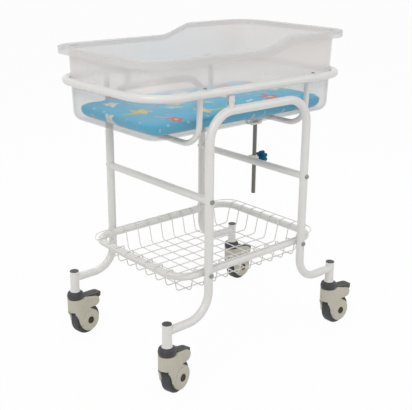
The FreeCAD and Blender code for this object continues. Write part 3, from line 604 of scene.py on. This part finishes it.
def blockPad():
    m = mattressSize
    middle = (m["low"] + m["high"]) / 2
    bpy.ops.mesh.primitive_cube_add(size=1, location=(m["middleX"], 0, middle))
    pad = named("mattressPad")
    inEdit(pad)
    bpy.ops.mesh.select_all(action="SELECT")
    bpy.ops.transform.resize(value=(2 * m["halfX"], 2 * m["halfY"], m["high"] - m["low"]))
    bpy.ops.object.mode_set(mode="OBJECT")
    applyPlace(pad)
    # round the upright edges, then those on top, then those below
    inEdit(pad, "EDGE")
    selectEdges(pad, lambda a, b: abs(a.z - b.z) > m["slack"])
    bpy.ops.mesh.bevel(offset=m["corner"], segments=8, affect="EDGES")
    selectEdges(pad, lambda a, b: min(a.z, b.z) > middle)
    bpy.ops.mesh.bevel(offset=m["edge"], segments=4, affect="EDGES")
    selectEdges(pad, lambda a, b: max(a.z, b.z) < m["low"] + m["slack"])
    bpy.ops.mesh.bevel(offset=m["belly"], segments=6, affect="EDGES")
    bpy.ops.object.mode_set(mode="OBJECT")
    pad.data.remesh_voxel_size = m["voxel"]
    bpy.ops.object.voxel_remesh()
    return pad


def swellPad(pad):
    # air pressure in the cover, with no point moved further than the foam would let it
    m = mattressSize
    rest = [point.co.copy() for point in pad.data.vertices]
    bpy.ops.object.modifier_add(type="CLOTH")
    cloth = pad.modifiers[-1]
    cloth.settings.use_pressure = True
    cloth.settings.uniform_pressure_force = m["pressure"]
    cloth.settings.effector_weights.gravity = 0.0
    cloth.point_cache.frame_end = m["steps"]
    for step in range(1, m["steps"] + 1):
        bpy.context.scene.frame_set(step)
    makeActive(pad)
    bpy.ops.object.modifier_apply(modifier=cloth.name)
    bpy.context.scene.frame_set(1)
    for point, old in zip(pad.data.vertices, rest):
        move = point.co - old
        if move.length > m["furthest"]:
            point.co = old + move.normalized() * m["furthest"]
        point.co.z = max(point.co.z, m["low"])


def settlePad(pad):
    # a low crown on top, where the foam is fullest, and an underside that curls up to the tub's rounding
    m = mattressSize
    for point in pad.data.vertices:
        reach = max(abs(point.co.x - m["middleX"]) / m["halfX"], abs(point.co.y) / m["halfY"])
        below = limited((m["high"] - point.co.z) / (m["high"] - m["low"]), 0, 1)
        point.co.z += m["curl"] * below * limited((reach - m["curlFrom"]) / (1 - m["curlFrom"]), 0, 1) ** 2
        if point.co.z > (m["low"] + m["high"]) / 2:
            rise = (1 - (point.co.x / m["crownX"]) ** 2) * (1 - (point.co.y / m["crownY"]) ** 2)
            point.co.z += m["crown"] * max(rise, 0)
    addModifier(pad, "SUBSURF", levels=1, render_levels=1)


def unfoldCover(pad):
    # the print lies flat on top and runs straight down the sides
    m = mattressSize
    pad.data.uv_layers.new(name="clothUV")
    layer = pad.data.uv_layers["clothUV"].data
    for loop in pad.data.loops:
        point = pad.data.vertices[loop.vertex_index].co
        drop = m["high"] - point.z
        aside = Vector((point.x - m["middleX"], point.y, 0))
        flatX = limited(aside.x, -m["flatX"], m["flatX"])
        flatY = limited(aside.y, -m["flatY"], m["flatY"])
        out = aside - Vector((flatX, flatY, 0))
        if out.length > 1e-6 and drop > 0:
            aside += out.normalized() * drop
        layer[loop.index].uv = (aside.x, aside.y)


pad = blockPad()
swellPad(pad)
settlePad(pad)
unfoldCover(pad)
smooth(pad, 60)
dress(pad, finishes["printedCover"])
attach(pad, "mattress")
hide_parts("mattress")
print("mattress made")


# casters: cheek rims, rings of painted shade inside them, domed caps, worn pedals and grip ribs
# an end face is one whose normal's Z passes endFace, and the middle one is centred within middleFace
casterDetail = {
    "wheelX": 0.037, "wheelZ": 0.049, "cheekY": 0.026,
    "rimOuter": 0.0336, "rimInner": 0.0288, "rimStep": 0.0005, "rimProud": 0.0015, "rimDish": 0.15,
    "rimBevel": 0.0004, "lineWidth": 0.0011,
    "capRadius": 0.0114, "capProud": 0.0046, "capRound": 0.0028, "capLip": 0.0022, "capDish": 0.0012,
    "endFace": 0.9, "middleFace": 0.001,
    "pedalVoxel": 0.0010, "pedalCorner": 0.014, "pedalStretch": 0.008, "pedalPasses": 24,
}


def casterTurn(name):
    spot = casterPlaces[name]
    turned = Matrix.Rotation(math.radians(spot["swivel"]), 4, "Z")
    return Matrix.Translation((spot["x"], spot["y"], 0)) @ turned


def placeOnCaster(piece, name):
    piece.matrix_world = casterTurn(name) @ piece.matrix_world
    applyPlace(piece)


def cheekRim(name, side):
    # a raised ring round the hub, on the outer cheek (side -1) or the inner one (side 1)
    d = casterDetail
    bpy.ops.mesh.primitive_cylinder_add(
        vertices=48, radius=d["rimOuter"], depth=2 * d["rimProud"], end_fill_type="NGON",
        location=(d["wheelX"], side * d["cheekY"], d["wheelZ"]), rotation=(math.radians(90), 0, 0),
    )
    rim = named("cheekRim_" + name + ("_outer" if side < 0 else "_inner"))
    inEdit(rim)
    selectFaces(rim, lambda centre, normal: abs(normal.z) > d["endFace"])
    bpy.ops.mesh.inset(thickness=d["rimOuter"] - d["rimInner"])
    bpy.ops.mesh.inset(thickness=d["rimStep"])
    bpy.ops.transform.resize(value=(1, 1, d["rimDish"]))
    bpy.ops.object.mode_set(mode="OBJECT")
    addModifier(
        rim, "BEVEL", width=d["rimBevel"], segments=2, limit_method="ANGLE", angle_limit=math.radians(30))
    smooth(rim, 45)
    placeOnCaster(rim, name)
    dress(rim, finishes["beigeHousing"])
    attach(rim, "swivel_" + name)


def cheekShadeRings(name):
    # a dark ring of painted shade inside each cheek's rim, where the groove's shade falls
    d = casterDetail
    lines = []
    for side in (-1, 1):
        bpy.ops.mesh.primitive_torus_add(
            major_radius=d["rimInner"] - d["lineWidth"], minor_radius=d["lineWidth"],
            major_segments=48, minor_segments=8,
            location=(d["wheelX"], side * d["cheekY"], d["wheelZ"]), rotation=(math.radians(90), 0, 0),
        )
        lines.append(bpy.context.object)
        applyPlace(lines[-1])
    piece = joined(lines, "cheekShadeRings_" + name)
    smooth(piece, 60)
    placeOnCaster(piece, name)
    dress(piece, finishes["housingShade"])
    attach(piece, "swivel_" + name)


def domedCaps(name):
    # a domed cap with a shallow dish over each end of the axle
    d = casterDetail
    caps = []
    for side in (-1, 1):
        bpy.ops.mesh.primitive_cylinder_add(
            vertices=40, radius=d["capRadius"], depth=d["capProud"], end_fill_type="NGON",
            location=(d["wheelX"], side * (d["cheekY"] + d["capProud"] / 2), d["wheelZ"]),
            rotation=(math.radians(-90 * side), 0, 0),
        )
        cap = bpy.context.object
        inEdit(cap)
        selectFaces(cap, lambda centre, normal: normal.z > d["endFace"])
        bpy.ops.mesh.bevel(offset=d["capRound"], segments=4, affect="EDGES")
        selectFaces(
            cap, lambda centre, normal: normal.z > d["endFace"] and centre.xy.length < d["middleFace"])
        bpy.ops.mesh.inset(thickness=d["capLip"])
        bpy.ops.transform.translate(value=(0, -d["capDish"] * side, 0))
        bpy.ops.object.mode_set(mode="OBJECT")
        applyPlace(cap)
        caps.append(cap)
    piece = joined(caps, "domedCaps_" + name)
    smooth(piece, 45)
    placeOnCaster(piece, name)
    dress(piece, finishes["hubBrown"])
    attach(piece, "swivel_" + name)
    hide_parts("caster_" + name + "_hub_caps")


def softPedal(name):
    # the CAD pedal with its corners worn round and its tip a little longer
    node = "caster_" + name + "_pedal"
    piece = copyOfNode(node, "soft_" + node)
    piece.data.remesh_voxel_size = casterDetail["pedalVoxel"]
    makeActive(piece)
    bpy.ops.object.voxel_remesh()
    turn = casterTurn(name)
    back = turn.inverted()
    places = [back @ point.co for point in piece.data.vertices]
    corner = casterDetail["pedalCorner"]
    bend = max(place.x for place in places) - corner
    half = max(place.y for place in places if place.x > bend)
    for point, place in zip(piece.data.vertices, places):
        past = min(corner, place.x - bend)
        if past > 0:
            place.y *= (half - corner + math.sqrt(corner ** 2 - past ** 2)) / half
            place.x += casterDetail["pedalStretch"] * past / corner
            point.co = turn @ place
    addModifier(piece, "SMOOTH", factor=0.5, iterations=casterDetail["pedalPasses"])
    smooth(piece, 60)
    dress(piece, finishes["pedalPlastic"])
    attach(piece, "pedal_" + name)
    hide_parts(node)


# ribs on the pressed pedal, measured from its hinge; slope and lift in degrees
ribDetail = {
    "hinge": (0.031, 0, 0.120), "slope": 17.2, "lift": 12, "above": 0.0125, "first": 0.006, "pitch": 0.0085,
    "count": 6, "size": (0.0026, 0.018, 0.0012), "bevel": 0.0011,
}


def gripRibs(name):
    # ribs across the brake pedal, lifted with it where the brake is off
    d = ribDetail
    slope = math.radians(d["slope"])
    hinge = Vector(d["hinge"])
    top = hinge + Vector((d["above"] * math.sin(slope), 0, d["above"] * math.cos(slope)))
    along = Vector((math.cos(slope), 0, -math.sin(slope)))
    lift = 0 if casterPlaces[name]["pressed"] else math.radians(d["lift"])
    ribs = []
    for k in range(d["count"]):
        spot = top + along * (d["first"] + d["pitch"] * k)
        bpy.ops.mesh.primitive_cube_add(size=1, location=spot, rotation=(0, slope, 0))
        rib = bpy.context.object
        rib.scale = d["size"]
        applyPlace(rib)
        addModifier(rib, "BEVEL", width=d["bevel"], segments=2)
        ribs.append(rib)
    piece = joined(ribs, "gripRibs_" + name)
    turned = Matrix.Rotation(-lift, 4, "Y")
    piece.matrix_world = Matrix.Translation(hinge) @ turned @ Matrix.Translation(-hinge)
    applyPlace(piece)
    smooth(piece, 40)
    placeOnCaster(piece, name)
    dress(piece, finishes["pedalPlastic"])
    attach(piece, "pedal_" + name)


# CAD part, bevel width, least angle of a bevelled edge, finish, slot, body
softMouldings = (
    ("housing", 0.0022, 35, "beigeHousing", "caster_housing", "swivel_"),
    ("tread", 0.0016, 18, "tyreRubber", "tyre", "wheel_"),
    ("collar", 0.0016, 18, "blackPlastic", "black_plastic", "swivel_"),
    ("pedal_pin", 0.0003, 35, "beigeHousing", "caster_housing", "swivel_"),
)
for name in casterPlaces:
    for part, width, angle, look, slotName, body in softMouldings:
        node = "caster_" + name + "_" + part
        piece = roundedNode(node, "soft_" + node, width, angle=angle)
        dress(piece, finishes[look])
        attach(piece, body + name)
        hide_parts(node)
    cheekRim(name, -1)
    cheekRim(name, 1)
    cheekShadeRings(name)
    domedCaps(name)
    softPedal(name)
    gripRibs(name)
print("casters made")


# the tilt rod as thick and the clamp knob as wide as in the photo, with their length along the axis kept
rodDetail = {"axis": 2, "wider": 1.3}
rod = copyOfNode("tilt_rod", "thickRod")
widened(rod, rodDetail["axis"], rodDetail["wider"])
smooth(rod, 40)
dress(rod, finishes["darkSteel"])
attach(rod, "rod")
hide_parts("tilt_rod")

knobDetail = {"axis": 0, "wider": 1.12, "bevel": 0.0022, "angle": 30}
knob = roundedNode("clamp_knob", "softKnob", knobDetail["bevel"], angle=knobDetail["angle"])
widened(knob, knobDetail["axis"], knobDetail["wider"])
dress(knob, finishes["tealKnob"])
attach(knob, "knob")
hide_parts("clamp_knob")

# the rod's bracket, its guide and the pivot pins, painted like the frame they sit on
fittingBevel = 0.0008
for node, name, body in (
    ("slot_bracket", "softBracket", "bed"),
    ("rod_guide", "softGuide", "base"),
    ("pivot_pins", "softPins", "base"),
):
    piece = roundedNode(node, name, fittingBevel, segments=2)
    dress(piece, finishes["powderCoat"])
    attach(piece, body)
    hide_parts(node)

# wires that shade as round ones
basket = copyOfNode("wire_basket", "smoothBasket")
smooth(basket, 50)
dress(basket, finishes["coatedWire"])
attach(basket, "basket")
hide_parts("wire_basket")
print("rod, knob, fittings and basket made")


# pale floor, soft lamps, camera
studio = {
    "floorSize": 80, "floorColour": (0.86, 0.86, 0.86, 1), "floorRough": 0.9, "floorGlow": 0.955,
    "fill": 0.54, "backdrop": 1.0, "white": (1, 1, 1, 1), "aim": (0, 0, 0.5),
}
lamps = {
    "keyLamp": {"at": (-2.6, -1.2, 3.2), "size": 2.2, "power": 48},
    "fillLamp": {"at": (1.8, -3.0, 2.4), "size": 2.6, "power": 22},
    "topLamp": {"at": (0.4, 1.4, 3.4), "size": 2.4, "power": 26},
}


def seenRays(tree):
    # one where the camera sees the surface, also by a reflection or through something clear
    path = tree.nodes.new("ShaderNodeLightPath")
    indirect = mathNode(tree, "MAXIMUM", path.outputs["Is Glossy Ray"], path.outputs["Is Transmission Ray"])
    return mathNode(tree, "MAXIMUM", path.outputs["Is Camera Ray"], indirect)


def mixShaders(tree, share, first, second, surface):
    mix = tree.nodes.new("ShaderNodeMixShader")
    tree.links.new(share, mix.inputs["Fac"])
    tree.links.new(first, mix.inputs[1])
    tree.links.new(second, mix.inputs[2])
    tree.links.new(mix.outputs["Shader"], surface)


def buildFloor():
    bpy.ops.mesh.primitive_plane_add(size=studio["floorSize"], location=(0, 0, 0))
    floor = named("studioFloor")
    material, tree, shader = newMaterial("floorWhite")
    shader.inputs["Base Color"].default_value = studio["floorColour"]
    shader.inputs["Roughness"].default_value = studio["floorRough"]
    glow = tree.nodes.new("ShaderNodeEmission")
    glow.inputs["Color"].default_value = studio["white"]
    share = mathNode(tree, "MULTIPLY", seenRays(tree), studio["floorGlow"])
    surface = tree.nodes["Material Output"].inputs["Surface"]
    mixShaders(tree, share, shader.outputs["BSDF"], glow.outputs["Emission"], surface)
    dress(floor, material)


def buildWorld():
    world = bpy.data.worlds.new("studioWorld")
    bpy.context.scene.world = world
    world.use_nodes = True
    tree = world.node_tree
    soft = tree.nodes["Background"]
    white = tree.nodes.new("ShaderNodeBackground")
    for node, strength in ((soft, studio["fill"]), (white, studio["backdrop"])):
        node.inputs["Color"].default_value = studio["white"]
        node.inputs["Strength"].default_value = strength
    surface = tree.nodes["World Output"].inputs["Surface"]
    mixShaders(tree, seenRays(tree), soft.outputs["Background"], white.outputs["Background"], surface)


def buildLamps():
    for name, lamp in lamps.items():
        bpy.ops.object.light_add(type="AREA", location=lamp["at"])
        light = bpy.context.object
        light.name = name
        light.data.energy = lamp["power"]
        light.data.size = lamp["size"]
        light.rotation_euler = (Vector(studio["aim"]) - light.location).to_track_quat("-Z", "Y").to_euler()


# fitted to the photo: azimuth and roll in degrees, lens and sensor in millimetres
cameraView = {
    "at": (-1.5253, -1.7419, 1.2198), "towards": (0.62477, 0.71147, -0.32166),
    "azimuth": 48.71, "roll": 0.51, "lens": 68.31, "sensor": 36,
}


def buildCamera():
    view = cameraView
    towards = Vector(view["towards"]).normalized()
    azimuth, roll = math.radians(view["azimuth"]), math.radians(view["roll"])
    right = Vector((math.sin(azimuth), -math.cos(azimuth), 0))
    up = right.cross(towards)
    rolledRight = right * math.cos(roll) + up * math.sin(roll)
    rolledUp = up * math.cos(roll) - right * math.sin(roll)
    data = bpy.data.cameras.new("studioCamera")
    data.lens = view["lens"]
    data.sensor_width = view["sensor"]
    camera = bpy.data.objects.new("studioCamera", data)
    bpy.context.scene.collection.objects.link(camera)
    camera.location = view["at"]
    camera.rotation_euler = Matrix((rolledRight, rolledUp, -towards)).transposed().to_euler()
    bpy.context.scene.camera = camera


buildFloor()
buildWorld()
buildLamps()
buildCamera()
bpy.context.scene.view_settings.view_transform = "Standard"
print("scene made")
